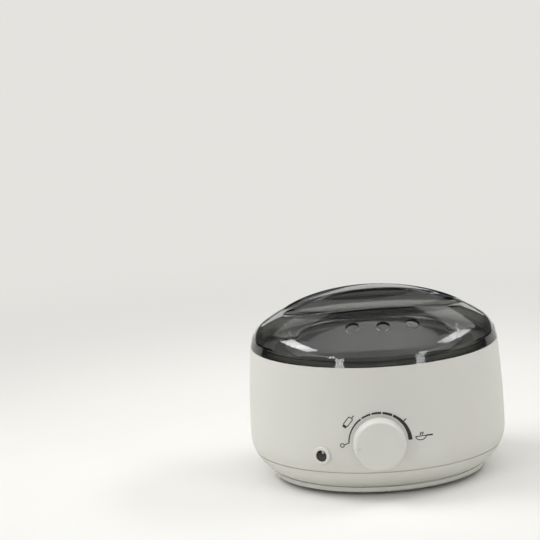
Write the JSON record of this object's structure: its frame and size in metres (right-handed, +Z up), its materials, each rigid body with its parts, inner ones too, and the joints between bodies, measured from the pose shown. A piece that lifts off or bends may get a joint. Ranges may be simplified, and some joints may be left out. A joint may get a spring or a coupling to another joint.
{
  "type": "wax heater",
  "caption": "Round bench-top wax heater: bowed housing over a heated well, lift-out metal pot with a wire bail, smoked vented lid with a grip bar, and a temperature knob with a pilot light.",
  "frame": {"origin": "on the table, under the middle of the footprint", "axes": "+Z up, the knob faces -Y and the cord inlet faces +Y, +X to the right of someone at the knob"},
  "size_m": [0.18, 0.2, 0.132],
  "materials": {
    "white_abs": "satin moulded",
    "smoked_acrylic": "polished",
    "aluminium_pot": "spun",
    "aluminium_well": "drawn",
    "zinc_steel": "zinc plated",
    "bail_wire": "polished",
    "black_rubber": "matte",
    "red_silicone": "matte",
    "heater_steel": "rolled",
    "glass_felt": "needled",
    "brass": "bright",
    "steatite": "unglazed",
    "smoked_lens": "polished",
    "lamp_glass": "clear",
    "polyamide": "moulded",
    "lead_silicone": "extruded"
  },
  "bodies": {
    "heater": {"housing": "white_abs", "base_cover": "white_abs", "pilot_bezel": "white_abs", "heating_well": "aluminium_well", "base_screws": "zinc_steel", "well_nuts": "zinc_steel", "band_screw": "zinc_steel", "pad_plate": "zinc_steel", "pad_nut": "zinc_steel", "thermostat_frame": "zinc_steel", "thermostat_nut": "zinc_steel", "pilot_clip": "zinc_steel", "rubber_feet": "black_rubber", "well_gasket": "red_silicone", "heater_band": "heater_steel", "thermal_fuse": "heater_steel", "insulation_sleeve": "glass_felt", "insulation_pad": "glass_felt", "fuse_sleeve": "glass_felt", "band_tabs": "brass", "thermostat_blades": "brass", "terminal_screws": "brass", "thermostat_block": "steatite", "terminal_block": "steatite", "pilot_lens": "smoked_lens", "pilot_lamp": "lamp_glass", "lamp_socket": "polyamide", "cord_gland": "polyamide", "gland_nut": "polyamide", "supply_leads": "lead_silicone", "element_leads": "lead_silicone", "lamp_leads": "lead_silicone"},
    "knob": {"control_knob": "white_abs", "knob_clip": "zinc_steel", "thermostat_shaft": "zinc_steel"},
    "pot": {"wax_pot": "aluminium_pot"},
    "lid": {"lid": "smoked_acrylic"},
    "bail": {"pot_bail": "bail_wire"}
  },
  "joints": [
    {"name": "knob_turn", "type": "hinge", "parent": "heater", "child": "knob", "pos_m": [0, -0.095, 0.041], "axis": [0, 1, 0], "range_deg": [0, 178]},
    {"name": "pot_lift", "type": "slide", "parent": "heater", "child": "pot", "axis": [0, 0, 1], "range_m": [0, 0.1]},
    {"name": "lid_lift", "type": "slide", "parent": "pot", "child": "lid", "axis": [0, 0, 1], "range_m": [0, 0.15]},
    {"name": "bail_swing", "type": "hinge", "parent": "pot", "child": "bail", "pos_m": [0, 0, 0.0975], "axis": [1, 0, 0], "range_deg": [0, 180]}
  ],
  "couplings": [
    {"joint": "bail_swing", "follows": "lid_lift", "rad_per_m": 20.944}
  ]
}
